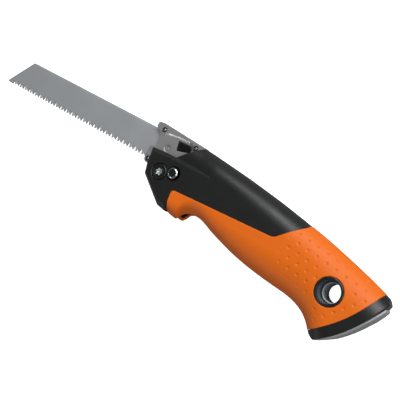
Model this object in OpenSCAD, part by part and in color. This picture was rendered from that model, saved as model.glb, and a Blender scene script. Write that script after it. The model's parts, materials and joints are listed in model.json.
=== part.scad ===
// Folding drywall saw with a replaceable blade, lying on its side.
// X runs from the blade tip to the butt, Y from the belly to the back, Z out of the near side face.
// Shapes are drawn about the fold pivot and moved so that the hang hole sits on the origin.

/* [Blade] */
// Length of blade that shows in front of the holder
blade_len = 151; // [120:1:155]
// Height of the blade from tooth tips to back edge
blade_h = 23.3; // [20:0.1:24]
// Thickness of the blade steel
blade_t = 1.2; // [0.8:0.1:1.2]
// Distance from one pair of teeth to the next
tooth_pitch = 6; // [5:0.5:8]
// Depth of the large gullets
gullet_d = 3.3; // [2:0.1:4]

/* [Handle] */
// Half thickness of the black casing at the palm
palm_z = 13.7; // [12:0.1:14]
// Thickness of the soft grip over the casing
grip_t = 1.8; // [1.2:0.1:2.4]
// How far the soft grip stands above the casing
grip_proud = 0.3; // [0.1:0.1:0.5]
// Width of the slot that takes the folded blade
slot_w = 4.8; // [4.6:0.1:5.2]
// Radius of the curved butt, measured to where the end cap starts
butt_r = 86; // [85:0.5:87]

/* [Hang hole] */
// Radius of the hang hole
hang_r = 6.2; // [5.5:0.1:6.2]
// Outer radius of the ferrule's flange
flange_r = 9.5; // [9:0.1:10]

/* [Pivot and lock] */
// Radius of the pivot bolt's shank
bolt_r = 3; // [2.5:0.1:3]
// Radius of the pivot bolt's head
bolt_head_r = 5.85; // [5:0.05:6]
// How far the arm folds, in degrees
fold_deg = 172.5; // [170:0.5:172.5]
// Radius of the lock button
lock_r = 3.9; // [3.5:0.1:3.9]

/* [Hidden] */
$fn = 48;
big = 100;                      // longer than any cut has to be
eps = 0.01;
run_gap = 0.05;                 // radial clearance of a running fit

// frame
pivot = [-146, 14];             // the fold pivot, seen from the hang hole
butt_c = [93.4, 27.8];          // centre of the curved butt
folded_lean = 180 - fold_deg;   // the folded blade points this far below +X

// outline of the handle, as points on a smooth curve
belly = [[4, -17.4], [9, -20.8], [14.2, -21.6], [20, -22.6], [25, -23.5], [25.7, -23.3], [26.6, -20.9],
    [28.6, -18], [31.8, -16], [35.5, -14.8], [39.5, -14.6], [43.7, -15.3], [48.5, -16.8], [52.2, -18.2],
    [62.3, -21.4], [71.7, -23.8], [80.8, -25.7], [90, -27.2], [107, -28.8], [114, -29.2], [121, -29.8],
    [128, -31.1], [134, -33.2], [139, -36.5], [144, -41.7], [151, -50], [160, -60], [188, -90]];
back = [[4, 30.1], [18, 29.5], [33, 28.1], [48, 26.5], [60, 25.1], [74, 23.2], [87, 21.3], [100, 19.1],
    [114, 16.5], [128, 13.7], [144.5, 9.8], [161, 5.5], [175, 1.3], [188, -3.2]];
belly_z = [[4, 13.2], [45, 13.3], [80, palm_z], [188, palm_z]];
back_z = [[4, 9.8], [22, 10.4], [31, 12], [39, 13.2], [64, palm_z - 0.1], [80, palm_z], [188, palm_z]];
belly_round = [[4, 8], [45, 9], [80, 13], [110, 17], [140, 20], [188, 26]];
back_round = [[4, 12], [60, 13], [100, 16], [140, 20], [188, 24]];
stations = [4.5, 9, 14.2, 20, 25, 25.7, 26.6, 28.6, 31.8, 35.5, 39.5, 44, 50, 58, 67, 76, 90, 104, 118, 128,
    134, 139, 144, 149, 155, 162, 170, 178, 187];
arc_steps = 6;                  // flats in each rounded edge of a section

// clevis and arm
cheek_z = 13.2;                 // outer face of the cheeks
cheek_in = 4.65;                // inner face of the cheeks
hollow_z = 8.4;                 // depth and corner radius of the hollows inside the casing
hollow_r = 1.5;
arm_z = 4;                      // raised faces of the arm
plate_z = 3;                    // sunk faces of the arm
core_z = 0.65;                  // half thickness of the core
hub_r = 7;
sweep_r = 38;                 // circle that the folding arm needs between the cheeks
slot_top = 2.2;                 // the slot's ceiling lies this far from the line through the pivot
arm_low = 0.9;                  // lower edge of the arm beside the hub
bush_r = 4.2;
washer_r = 5.8;
rivet_r = 0.95;
rivet_ring_r = 1.95;
rivets = [[-17.3, 28], [12.3, 26.3], [-18.7, 4.1]];
pin_at = [-8.8, 16.8];
window_c = [3.4, 22.8];
window = [[-3.2, 25.8, 0.6], [-1.5, 18.6, 0.6], [9.1, 21.1, 0.6], [9.7, 24.2, 0.9], [8.2, 26.2, 0.9]];

// blade
teeth_y = 4.1;
back_y = teeth_y + blade_h;
tip_x = -23.3 - blade_len;
tip_lean = 17.4;                // the tip's top corner lies this far behind its tooth corner
tang_x = -5;
tang_y = 9;
first_gullet = -167.2;
tooth_pairs = 24;

// lock
lock_at = [11, 3.5];
lock_top = 15.6;
lock_seat_z = 10.8;
stem_r = 2.9;
stem_top = 7;
stem_low = -6.2;
lock_floor = -11;
clip_z = 8;
clip_t = 0.6;
clip_r = 5.2;
plug_r = 4.9;

// screws, from the far side
screws = [[35, 15.5], [61, 11.5], [90, 7.5]];
screw_r = 1.5;
screw_head_r = 2.9;
screw_head_z = -8.2;
screw_tip_z = 8.4;

// hang hole
ferrule_z = 14.2;
ferrule_in = 12.3;
barrel_r = 8.6;
ferrule_bore_r = 7.6;
step_z = 3;
sleeve_r = 7;

// end cap and butt plate
butt_facets = 180;
cap_r = butt_r + 6.8;
plate_in_r = butt_r + 4.2;
plate_out_r = butt_r + 8;
plate_inset = 1.5;
slit_angle = -27.4;
peg_angle = -30;
peg_r = 1.8;
peg_z = 6.5;

// smooth curve through points, as a height over x
function span_at(p, x, i = 0) = (i >= len(p) - 2 || x < p[i + 1][0]) ? i : span_at(p, x, i + 1);
function rise(p, a, b) = (p[b][1] - p[a][1]) / (p[b][0] - p[a][0]);
function slope_at(p, i) = rise(p, max(i - 1, 0), min(i + 1, len(p) - 1));
function smooth_at(p, x) =
    let (i = span_at(p, x), w = p[i + 1][0] - p[i][0], t = (x - p[i][0]) / w)
    (2 * t ^ 3 - 3 * t ^ 2 + 1) * p[i][1] + (3 * t ^ 2 - 2 * t ^ 3) * p[i + 1][1]
        + ((t ^ 3 - 2 * t ^ 2 + t) * slope_at(p, i) + (t ^ 3 - t ^ 2) * slope_at(p, i + 1)) * w;

// polygon whose corners [x, y, radius] are rounded
function unit(v) = v / norm(v);
function flat(p) = [p[0], p[1]];
function turn(a) = a > 180 ? a - 360 : (a < -180 ? a + 360 : a);
function corner(a, b, c, r, n) = r <= 0 ? [b] :
    let (u = unit(a - b), v = unit(c - b), half = acos(u * v) / 2, o = b + unit(u + v) * r / sin(half),
        p = b + u * r / tan(half) - o, q = b + v * r / tan(half) - o,
        start = atan2(p[1], p[0]), sweep = turn(atan2(q[1], q[0]) - start))
    [for (i = [0:n]) o + r * [cos(start + sweep * i / n), sin(start + sweep * i / n)]];
function rounded(p, n = 5) = let (m = len(p))
    [for (i = [0:m - 1])
        each corner(flat(p[(i + m - 1) % m]), flat(p[i]), flat(p[(i + 1) % m]), p[i][2], n)];

// moves a shape drawn about the pivot into the part's frame
module from_pivot() {
    translate([pivot[0], pivot[1], 0]) children();
}

module at(p) {
    translate([p[0], p[1], 0]) children();
}

module tube_z(r, z0, z1) {
    translate([0, 0, z0]) cylinder(r = r, h = z1 - z0);
}

module slab(z0, z1) {
    translate([0, 0, z0]) linear_extrude(z1 - z0) children();
}

// one side of the handle, from the parting plane outward, grown by g
function half_section(x, g) =
    let (b = smooth_at(belly, x) - g, k = smooth_at(back, x) + g,
        zb = smooth_at(belly_z, x) + g, zk = smooth_at(back_z, x) + g,
        rb = smooth_at(belly_round, x), rk = smooth_at(back_round, x))
    concat(
        [for (i = [0:arc_steps]) let (a = 90 * i / arc_steps) [x, b + rb * (1 - cos(a)), zb * sin(a)]],
        [for (i = [arc_steps:-1:0]) let (a = 90 * i / arc_steps) [x, k - rk * (1 - cos(a)), zk * sin(a)]]);

module handle_form(g = 0, x_from = 0) {
    xs = [for (x = stations) if (x >= x_from) x];
    m = 2 * arc_steps + 2;
    n = len(xs);
    polyhedron(
        points = [for (x = xs) each half_section(x, g)],
        faces = concat(
            [[for (j = [m - 1:-1:0]) j]],
            [[for (j = [0:m - 1]) (n - 1) * m + j]],
            [for (i = [0:n - 2], j = [0:m - 2])
                each [[i * m + j, (i + 1) * m + j + 1, (i + 1) * m + j],
                    [i * m + j, i * m + j + 1, (i + 1) * m + j + 1]]],
            [[for (i = [0:n - 1]) i * m, for (i = [n - 1:-1:0]) i * m + m - 1]]));
}

// raised black cheek with bevelled edges, merging into the casing behind
module cheek() {
    foot = [[-15.4, 13.2], [-13.9, 2], [-12.2, -6.2], [-2.7, -12.4], [9, -20.8], [18.4, -22.6],
        [19.5, -15], [19.5, -7], [50, -3.5], [52, 8], [44, 13.4], [36, 15.2], [18, 15], [0, 14.4]];
    crown = [[-11.8, 10.7], [-11.2, 1.5], [-9.8, -4.9], [-0.8, -10.4], [10.4, -17.6], [17.6, -19.5],
        [19, -15], [19, -7.4], [50, -4], [51, 7], [43.5, 12], [35, 13], [18, 12.6], [1.5, 11.9]];
    m = len(foot);
    wall_z = cheek_z - 2.6;
    polyhedron(
        points = concat([for (p = foot) [p[0], p[1], 0]], [for (p = foot) [p[0], p[1], wall_z]],
            [for (p = crown) [p[0], p[1], cheek_z]]),
        faces = concat(
            [[for (j = [0:m - 1]) j]],
            [[for (j = [m - 1:-1:0]) 2 * m + j]],
            [for (k = [0, 1], j = [0:m - 1]) let (i = (j + 1) % m)
                each [[k * m + j, (k + 1) * m + i, k * m + i],
                    [k * m + j, (k + 1) * m + j, (k + 1) * m + i]]]));
}

// side of the handle that the soft grip covers
module grip_area() {
    polygon(rounded([[18.3, -30, 0], [15.6, -6.6, 2.2], [97.5, -1.4, 7], [122, 24, 0], [205, 24, 0],
        [205, -80, 0], [18.3, -80, 0]]));
}

module beyond_butt(r) {
    difference() {
        translate([125, -85]) square([80, 125]);
        at(butt_c) circle(r, $fn = butt_facets);
    }
}

// open space above the cheeks where the holder lies, up to its stop face
module arm_space() {
    polygon([[-45, 13], [0, 14.2], [5.3, 14.2], [20.35, 30.1], [20.35, 45], [-45, 45]]);
}

// between the cheeks: the sweep of the arm, its hub and its place when open
module clevis_space() {
    difference() {
        circle(sweep_r, $fn = 96);
        rotate(-folded_lean) translate([0, -0.3]) square([big, big]);
    }
    circle(hub_r + 0.5);
    polygon([[-45, -5], [0, -5], [7.3, -1], [6.7, 4], [6.2, 13.2], [5.3, 14.2], [20.35, 30.1], [-45, 45]]);
}

// the folded blade's slot, open to the belly and through the butt
module blade_space() {
    rotate(-folded_lean) translate([10, -60]) square([190, 60 - slot_top]);
}

// slit that shows in the butt plate, longer than the blade needs
module butt_slit() {
    at(butt_c) rotate(slit_angle) translate([butt_r + 3, -50]) square([12, 50]);
}

module grip_seat() {
    difference() {
        slab(-1, 20) grip_area();
        handle_form(-grip_t);
    }
}

// hollows between screw bosses, open to the parting plane
module lightening() {
    for (p = [[44, 11], [69, 13], [97, 14], [117, 12]]) {
        x1 = p[0] + p[1];
        low = -x1 * tan(folded_lean) - 0.6;
        high = smooth_at(back, x1) - 6.5;
        slab(-1, hollow_z) polygon(rounded([[p[0], low, hollow_r], [x1, low, hollow_r], [x1, high, hollow_r],
            [p[0], high, hollow_r]], 3));
    }
}

// outer shape of a casing half, kept as one moulded form
module casing_form() {
    resize([0, 0, 0]) difference() {
        union() {
            handle_form();
            cheek();
        }
        grip_seat();
        slab(-1, 20) beyond_butt(butt_r);
        slab(-1, 20) arm_space();
    }
}

// all of a casing half but the holes that differ from side to side
module casing() {
    difference() {
        casing_form();
        slab(-1, cheek_in) clevis_space();
        slab(-1, slot_w / 2) blade_space();
        lightening();
        tube_z(bolt_r + run_gap, -1, 20);
        at(-pivot) tube_z(sleeve_r, -1, 20);
        at(butt_c) rotate([0, 90, peg_angle]) translate([-peg_z, 0, butt_r - 6]) cylinder(r = peg_r, h = 10);
    }
}

module housing_left() {
    color("#242526") from_pivot() difference() {
        casing();
        tube_z(bolt_head_r + 0.25, 9.6, 20);
        at(lock_at) tube_z(lock_r + run_gap, 0, 20);
        at(lock_at) tube_z(clip_r + 0.4, 0, clip_z + clip_t);
        at(lock_at) tube_z(lock_r + 1.3, lock_seat_z, 20);
        at(-pivot) tube_z(barrel_r, step_z, 20);
        at(-pivot) tube_z(flange_r + run_gap, ferrule_in, 20);
        for (s = screws) at(s) tube_z(screw_r - 0.2, -1, screw_tip_z + 0.4);
    }
}

module housing_right() {
    color("#242526") from_pivot() mirror([0, 0, 1]) difference() {
        casing();
        translate([0, 0, 9]) cylinder(r = 5.9, h = 11, $fn = 6);
        at(lock_at) tube_z(stem_r + run_gap, 0, 20);
        at(lock_at) tube_z(plug_r, -lock_floor, 20);
        at(-pivot) tube_z(flange_r + run_gap, ferrule_in, 20);
        for (s = screws) {
            at(s) tube_z(screw_r + 0.1, -1, 20);
            at(s) tube_z(screw_head_r + 0.2, -screw_head_z, 20);
        }
    }
}

// soft shell over one side, kept as one moulded form
module grip_form() {
    resize([0, 0, 0]) difference() {
        intersection() {
            handle_form(grip_proud);
            slab(-1, 20) difference() {
                grip_area();
                beyond_butt(butt_r);
            }
        }
        handle_form(-grip_t);
    }
}

module grip() {
    difference() {
        grip_form();
        slab(-1, cheek_in) clevis_space();
        slab(-1, slot_w / 2) blade_space();
        at(-pivot) tube_z(flange_r + run_gap, -1, 20);
    }
}

module grip_left() {
    color("#e06c1a") from_pivot() grip();
}

module grip_right() {
    color("#e06c1a") from_pivot() mirror([0, 0, 1]) grip();
}

// outline of the cap's side, with its two rounded corners
module cap_area(inset = 0) {
    difference() {
        polygon(rounded([[140, -41.2 + inset, 0], [144.9, -43.8 + inset, 0.5],
            [150.6 - inset, -45.4 + inset, 0.5], [200, -60, 0], [200, -40, 0],
            [181.6 - inset, -5 - inset, 2], [178.2 - inset, 0.4 - inset, 2.5],
            [165, 5 - inset, 0], [140, 12, 0]]));
        at(butt_c) circle(butt_r, $fn = butt_facets);
    }
}

// the cap of one side, without its recess for the butt plate
module cap_form() {
    intersection() {
        handle_form(0.1, 130);
        slab(0, 20) difference() {
            cap_area();
            beyond_butt(cap_r);
        }
    }
}

module plate_block() {
    intersection() {
        handle_form(-plate_inset, 140);
        slab(-1, 20) difference() {
            cap_area(plate_inset);
            at(butt_c) circle(plate_in_r, $fn = butt_facets);
        }
    }
}

module both_sides() {
    children();
    mirror([0, 0, 1]) children();
}

module end_cap() {
    color("#1b1c1d") from_pivot() union() {
        difference() {
            resize([0, 0, 0]) both_sides() difference() {
                cap_form();
                plate_block();
            }
            slab(-slot_w / 2, slot_w / 2) blade_space();
            slab(-slot_w / 2, slot_w / 2) butt_slit();
        }
        both_sides() at(butt_c) rotate([0, 90, peg_angle]) translate([-peg_z, 0, butt_r - 6])
            cylinder(r = peg_r, h = 7);
    }
}

module butt_plate() {
    color("#8d9093") from_pivot() difference() {
        resize([0, 0, 0]) both_sides() difference() {
            plate_block();
            slab(-1, 20) beyond_butt(plate_out_r);
        }
        slab(-slot_w / 2, slot_w / 2) blade_space();
        slab(-slot_w / 2, slot_w / 2) butt_slit();
    }
}

module hang_ferrule_left() {
    color("#26282a") rotate_extrude() polygon([[ferrule_bore_r, step_z], [barrel_r, step_z],
        [barrel_r, ferrule_in], [flange_r, ferrule_in], [flange_r, ferrule_z - 0.5],
        [flange_r - 0.6, ferrule_z], [ferrule_bore_r + 0.5, ferrule_z], [ferrule_bore_r, ferrule_z - 0.5]]);
}

module hang_ferrule_right() {
    color("#26282a") rotate_extrude() polygon([[hang_r, -ferrule_in], [flange_r, -ferrule_in],
        [flange_r, 0.5 - ferrule_z], [flange_r - 0.6, -ferrule_z], [hang_r, -ferrule_z]]);
}

module hang_sleeve() {
    color("#777a7d") difference() {
        tube_z(sleeve_r, -ferrule_in, step_z);
        tube_z(hang_r, -20, 20);
    }
}

module housing_screws() {
    color("#3a3c3e") from_pivot() for (s = screws) at(s) difference() {
        union() {
            tube_z(screw_r, screw_head_z, 0);
            tube_z(screw_r - 0.2, -eps, screw_tip_z);
            tube_z(screw_head_r, screw_head_z - 2, screw_head_z);
        }
        translate([0, 0, screw_head_z - 3]) cylinder(r = 1.5, h = 2.2, $fn = 6);
    }
}

module pivot_bolt() {
    color("#4a4e50") from_pivot() difference() {
        union() {
            tube_z(bolt_r, -12.2, 9.8);
            rotate_extrude() polygon([[0, 9.6], [bolt_head_r, 9.6], [bolt_head_r, 13],
                [bolt_head_r - 0.7, 13.6], [0, 13.6]]);
        }
        for (a = [0:60:120]) rotate(a) translate([-2.7, -0.85, 11.2]) cube([5.4, 1.7, 5]);
        tube_z(2, 11.2, 15);
    }
}

module pivot_nut() {
    color("#5b5f61") from_pivot() difference() {
        translate([0, 0, -12.8]) cylinder(r = 5.8, h = 3.8, $fn = 6);
        tube_z(bolt_r, -20, 0);
    }
}

module pivot_washers() {
    color("#a08a55") from_pivot() for (z = [-cheek_in, arm_z + 0.05]) difference() {
        tube_z(washer_r, z, z + cheek_in - arm_z - 0.05);
        tube_z(bolt_r + run_gap, -20, 20);
    }
}

// screwed plug that closes the lock's bore on the far side
module lock_plug() {
    color("#3a3c3e") from_pivot() at(lock_at) difference() {
        tube_z(plug_r, -cheek_z, lock_floor);
        translate([-3, -0.5, -cheek_z - 1]) cube([6, 1, 1.8]);
    }
}

module lock_plunger() {
    color("#9a9da0") from_pivot() at(lock_at) difference() {
        rotate_extrude() polygon([[0, stem_low], [stem_r - 0.4, stem_low], [stem_r, stem_low + 0.4],
            [stem_r, stem_top], [lock_r, stem_top + 0.4], [lock_r, clip_z], [lock_r - 0.7, clip_z],
            [lock_r - 0.7, clip_z + clip_t], [lock_r, clip_z + clip_t],
            [lock_r, lock_top - 0.6], [lock_r - 0.6, lock_top], [0, lock_top]]);
        tube_z(lock_r - 1, lock_top - 0.3, lock_top + 1);
    }
}

// open ring that holds the plunger against its spring
module lock_clip() {
    color("#b9bcbe") from_pivot() at(lock_at) difference() {
        tube_z(clip_r, clip_z, clip_z + clip_t);
        tube_z(lock_r - 0.7, 0, 20);
        translate([-1.2, -10, 0]) cube([2.4, 10, 20]);
    }
}

// coil spring swept from a small round along a helix
module coil(r, wire, z0, z1, turns) {
    sides = 6;
    steps = 12 * turns;
    polyhedron(
        points = [for (i = [0:steps]) let (a = 30 * i, z = z0 + wire + (z1 - z0 - 2 * wire) * i / steps)
            each [for (k = [0:sides - 1]) let (b = 60 * k, q = r + wire * cos(b))
                [q * cos(a), q * sin(a), z + wire * sin(b)]]],
        faces = concat(
            [[for (k = [sides - 1:-1:0]) k]],
            [[for (k = [0:sides - 1]) steps * sides + k]],
            [for (i = [0:steps - 1], k = [0:sides - 1])
                let (a = i * sides + k, b = i * sides + (k + 1) % sides)
                each [[a, b + sides, a + sides], [a, b, b + sides]]]));
}

module lock_spring() {
    color("#c4c7c9") from_pivot() at(lock_at)
        coil(stem_r - 0.4, 0.35, lock_floor + run_gap, stem_low - run_gap, 3);
}

// outline of the blade holder's side plates
module arm_area() {
    union() {
        polygon(rounded([[-24.8, 31.9, 2], [-19.5, 32.5, 5], [19.5, 29.65, 0.8], [4.85, 14, 0.8],
            [5.9, arm_low, 0], [-18.7, arm_low, 0], [-21.9, 4.1, 0], [-22.7, 13.3, 1.2], [-18.2, 15, 1.2],
            [-20.2, 25.2, 1.2], [-24.8, 28, 1.2]]));
        circle(hub_r);
        at(rivets[2]) circle(rivets[2][1] - arm_low);
    }
}

// parts of the side plates that stand above the sunk face
module arm_raised() {
    intersection() {
        arm_area();
        union() {
            polygon([[-30, 40], [30, 40], [30, 25], [14, 23], [9.9, 26.6], [5.3, 28.2], [-4, 27.9],
                [-13.3, 26.6],
                [-16, 24.6], [-19, 25.5], [-30, 25]]);
            at(rivets[1]) circle(2.4);
            at(rivets[2]) circle(4);
            circle(hub_r + 1);
        }
    }
}

module arm_holes() {
    tube_z(bush_r, -20, 20);
    for (p = rivets) at(p) {
        tube_z(rivet_r, -20, 20);
        tube_z(rivet_ring_r, plate_z + 0.2, 20);
    }
    at(pin_at) tube_z(1.5, -20, 20);
}

// pocket in the core that takes the blade's tang
module tang_pocket(gap) {
    translate([-40, tang_y - gap]) square([40 + tang_x + 3, back_y - tang_y + 2 * gap]);
}

// the release button's window, grown by a margin
function grown(p, g) =
    [for (q = p) let (d = unit(flat(q) - window_c)) [q[0] + g * d[0], q[1] + g * d[1], q[2]]];

module release_room(g) {
    polygon(rounded(grown(window, g)));
}

module side_plate() {
    difference() {
        union() {
            slab(core_z, plate_z) arm_area();
            slab(plate_z - eps, arm_z) arm_raised();
        }
        arm_holes();
    }
}

module arm_plate_left() {
    color("#7c7d7d") from_pivot() difference() {
        side_plate();
        slab(0, 10) release_room(0);
        slab(0, 1.2) release_room(1.2);
        at(pin_at) tube_z(2.5, plate_z - 0.5, 10);
    }
}

module arm_plate_right() {
    color("#7c7d7d") from_pivot() difference() {
        mirror([0, 0, 1]) side_plate();
        slab(-2.1, 0) release_room(1.2);
        slab(-2.35, 0) catch_area(0.4);
        at(window_c) tube_z(1.15, -10, 0);
    }
}

// fills the holder around the blade's tang
module arm_core() {
    color("#6a6b6c") from_pivot() difference() {
        union() {
            slab(-core_z, core_z) arm_area();
            tube_z(hub_r, -core_z, core_z);
        }
        slab(-1, 1) tang_pocket(0.05);
        slab(-1, 1) release_room(1.2);
        tube_z(bush_r + eps, -20, 20);
        for (p = rivets) at(p) tube_z(rivet_r, -20, 20);
    }
}

module arm_rivets() {
    color("#c9cbcc") from_pivot() for (p = rivets) at(p) rotate_extrude()
        polygon([[0, -3.9], [rivet_r - 0.25, -3.9], [rivet_r, -3.65], [rivet_r, 3.65], [rivet_r - 0.25, 3.9],
            [0, 3.9]]);
}

module pivot_bush() {
    color("#a08a55") from_pivot() difference() {
        tube_z(bush_r, -arm_z, arm_z);
        tube_z(bolt_r + run_gap, -20, 20);
    }
}

module locating_pin() {
    color("#8f9192") from_pivot() at(pin_at) tube_z(1.5, -plate_z, plate_z - 0.3);
}

// pairs of pull-cut teeth between deep gullets
function tooth_pair(x) = let (root = teeth_y + gullet_d, s = tooth_pitch / 6)
    [[x, root], [x + 0.5 * s, root], [x + 2.1 * s, teeth_y], [x + 3.1 * s, teeth_y + 0.55 * gullet_d],
        [x + 4.9 * s, teeth_y], [x + 5.5 * s, root - 0.3]];

module saw_blade() {
    color("#b4b9bb") from_pivot() difference() {
        slab(-blade_t / 2, blade_t / 2) polygon(concat(
            corner([tip_x + tip_lean, back_y], [tip_x, teeth_y], [-160, teeth_y], 0.8, 3),
            [[first_gullet - 0.6, teeth_y]],
            [for (i = [0:tooth_pairs - 1]) each tooth_pair(first_gullet + i * tooth_pitch)],
            [[-22.9, tang_y - 1.4], [-22.9, tang_y], [tang_x, tang_y], [tang_x, 20], [tang_x - 2.6, 20],
                [tang_x - 2.6, 23], [tang_x, 23], [tang_x, back_y]],
            corner([0, back_y], [tip_x + tip_lean, back_y], [tip_x, teeth_y], 1.5, 3)));
        at(pin_at) tube_z(1.5, -2, 2);
        for (p = rivets) at(p) tube_z(rivet_r + 0.2, -2, 2);
    }
}

module catch_area(g = 0) {
    polygon([[tang_x - 2.4 - g, 20.3 - g], [2, 20.3 - g], [2, 22.7 + g], [tang_x - 2.4 - g, 22.7 + g]]);
}

module release_button() {
    color("#17181a") from_pivot() difference() {
        union() {
            slab(0, 3.5) release_room(-0.15);
            slab(-0.3, 1) release_room(0.8);
            at(window_c) tube_z(1.05, -3, 0);
            for (i = [0:4]) intersection() {
                slab(3.4, 3.9) release_room(-0.6);
                translate([-1.6 + 2.1 * i, 10, 0]) rotate(-14) cube([1, 20, 5]);
            }
        }
        at(window_c) difference() {
            tube_z(2.5, -1, 2.4);
            tube_z(1.05, -2, 3);
        }
    }
}

module release_catch() {
    color("#9a9da0") from_pivot() difference() {
        slab(-0.55, 0.55) catch_area();
        slab(-5, 5) release_room(0.8);
    }
}

module release_spring() {
    color("#c4c7c9") from_pivot() at(window_c) coil(1.75, 0.25, -2.05, 2.35, 4);
}

housing_left();
housing_right();
grip_left();
grip_right();
end_cap();
butt_plate();
hang_ferrule_left();
hang_ferrule_right();
hang_sleeve();
housing_screws();
pivot_bolt();
pivot_nut();
pivot_washers();
lock_plug();
lock_plunger();
lock_clip();
lock_spring();
arm_plate_left();
arm_plate_right();
arm_core();
arm_rivets();
pivot_bush();
locating_pin();
saw_blade();
release_button();
release_catch();
release_spring();
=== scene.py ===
# %% [markdown]
# # A folding drywall saw
# The saw is a blade of pull-cut teeth in a metal holder, which folds on a bolt into a moulded
# handle with a soft grip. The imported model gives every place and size. This lesson builds the
# surfaces that a hand would feel: rounded mouldings, ground teeth, dimples and turned rings.

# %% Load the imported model
import json
import math

import bmesh
import bpy
import numpy as np
from mathutils import Matrix, Vector
from mathutils.geometry import delaunay_2d_cdt


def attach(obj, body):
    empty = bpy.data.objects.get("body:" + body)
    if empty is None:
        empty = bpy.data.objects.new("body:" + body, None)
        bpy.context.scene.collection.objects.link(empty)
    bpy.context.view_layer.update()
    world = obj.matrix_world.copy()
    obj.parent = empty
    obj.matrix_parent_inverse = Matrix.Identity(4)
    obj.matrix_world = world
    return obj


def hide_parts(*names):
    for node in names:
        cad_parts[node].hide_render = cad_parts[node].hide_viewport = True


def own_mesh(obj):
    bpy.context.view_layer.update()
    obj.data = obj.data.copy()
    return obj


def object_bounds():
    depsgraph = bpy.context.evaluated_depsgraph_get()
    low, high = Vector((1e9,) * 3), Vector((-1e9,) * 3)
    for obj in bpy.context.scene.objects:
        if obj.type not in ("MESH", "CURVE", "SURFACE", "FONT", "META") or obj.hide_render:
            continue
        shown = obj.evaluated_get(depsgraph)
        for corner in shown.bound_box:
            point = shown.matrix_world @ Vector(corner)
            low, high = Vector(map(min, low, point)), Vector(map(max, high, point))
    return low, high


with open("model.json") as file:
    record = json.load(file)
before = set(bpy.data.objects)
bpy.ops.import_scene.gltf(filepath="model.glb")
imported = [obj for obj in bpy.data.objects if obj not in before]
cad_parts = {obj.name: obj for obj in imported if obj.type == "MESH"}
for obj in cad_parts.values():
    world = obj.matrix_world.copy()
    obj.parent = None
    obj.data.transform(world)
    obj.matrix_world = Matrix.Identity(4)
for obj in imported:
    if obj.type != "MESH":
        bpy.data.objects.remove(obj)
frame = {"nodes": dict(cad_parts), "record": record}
cad_low, cad_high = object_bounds()
print("CAD box", [round(v, 4) for v in (*cad_low, *cad_high)])

# %% [markdown]
# Lengths below are millimetres about the fold pivot, as on a workshop drawing. One place turns
# them into metres in the model's frame, so that no other line needs to.

# %% Workshop units
MM = 0.001
fold = next(j for j in frame["record"]["behaviour"]["joints"] if j["name"] == "blade_fold")
pivot = Vector(fold["pos_m"])
hang_at = (-pivot.x / MM, -pivot.y / MM)


def to_frame(points):
    return np.asarray(points, float) * MM + np.array(pivot)


print("pivot", tuple(round(v, 4) for v in pivot), "hang hole", hang_at)

# %% [markdown]
# ## Camera, light and floor
# A long lens from above and behind the butt keeps the handle's taper gentle. Light comes from
# three soft panels: a main one beyond the back of the handle, which puts the broad gleam on the
# round neck and leaves the belly in shade, a weaker one on the belly side, and one above the
# butt. A pale room fills the rest, because steel looks black if there is nothing to mirror.

# %% Camera
right, up, forward = (Vector(v).normalized() for v in (
    (0.785, 0.473, -0.400), (-0.441, 0.880, 0.175), (-0.435, -0.039, -0.900)))
camera = bpy.data.objects.new("camera", bpy.data.cameras.new("camera"))
camera.data.lens = 64.8
camera.data.sensor_width = 36
camera.data.clip_start = 0.01
camera.matrix_world = Matrix.Translation((0.1054, 0.0296, 0.4532)) @ Matrix((right, up,
                                                                             -forward)).transposed().to_4x4()
bpy.context.scene.collection.objects.link(camera)
bpy.context.scene.camera = camera
bpy.context.scene.view_settings.view_transform = "Standard"
print("camera at", tuple(round(v, 3) for v in camera.location))

# %% Lights and room
saw_middle = (cad_low + cad_high) / 2


def panel(name, towards, far, size, watts, tint=(1, 1, 1)):
    light = bpy.data.objects.new(name, bpy.data.lights.new(name, "AREA"))
    light.data.shape = "RECTANGLE"
    light.data.size, light.data.size_y = size
    light.data.energy = watts
    light.data.color = tint
    light.location = saw_middle + Vector(towards).normalized() * far
    light.rotation_euler = (saw_middle - light.location).to_track_quat("-Z", "Y").to_euler()
    bpy.context.scene.collection.objects.link(light)
    return light


panel("back_panel", (0.25, 0.85, 0.75), 0.9, (0.9, 0.35), 8.6)
panel("belly_panel", (-0.435, -0.8, 0.416), 1.0, (0.5, 0.16), 1.3)
panel("top_panel", (0.75, 0.1, 0.7), 1.0, (0.4, 0.6), 2.0)
room = bpy.data.worlds.new("white_room")
room.use_nodes = True
room.node_tree.nodes["Background"].inputs["Color"].default_value = (1, 1, 1, 1)
room.node_tree.nodes["Background"].inputs["Strength"].default_value = 0.27
bpy.context.scene.world = room

# %% [markdown]
# ## Tools for making meshes
# Most parts here are mouldings or stampings: a flat outline with relief on top. So the main tool
# fills an outline with triangles and lifts each corner by a rule. Subdividing a box could give
# the same shapes, but edges would then wander off the outline; here every edge lies on a line.

# %% Curves and outlines
def curve(points):
    """A smooth height over x through the points."""
    px, py = np.array(points, float).T
    n = len(px)
    lo, hi = np.maximum(np.arange(n) - 1, 0), np.minimum(np.arange(n) + 1, n - 1)
    slope = (py[hi] - py[lo]) / (px[hi] - px[lo])

    def at(x):
        x = np.clip(x, px[0], px[-1])
        i = np.clip(np.searchsorted(px, x, side="right") - 1, 0, n - 2)
        w = px[i + 1] - px[i]
        t = (x - px[i]) / w
        return ((2 * t**3 - 3 * t**2 + 1) * py[i] + (3 * t**2 - 2 * t**3) * py[i + 1]
                + ((t**3 - 2 * t**2 + t) * slope[i] + (t**3 - t**2) * slope[i + 1]) * w)

    return at


def ease(t):
    """0 below 0, 1 above 1, and a smooth step between them."""
    t = np.clip(t, 0, 1)
    return t * t * (3 - 2 * t)


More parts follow.
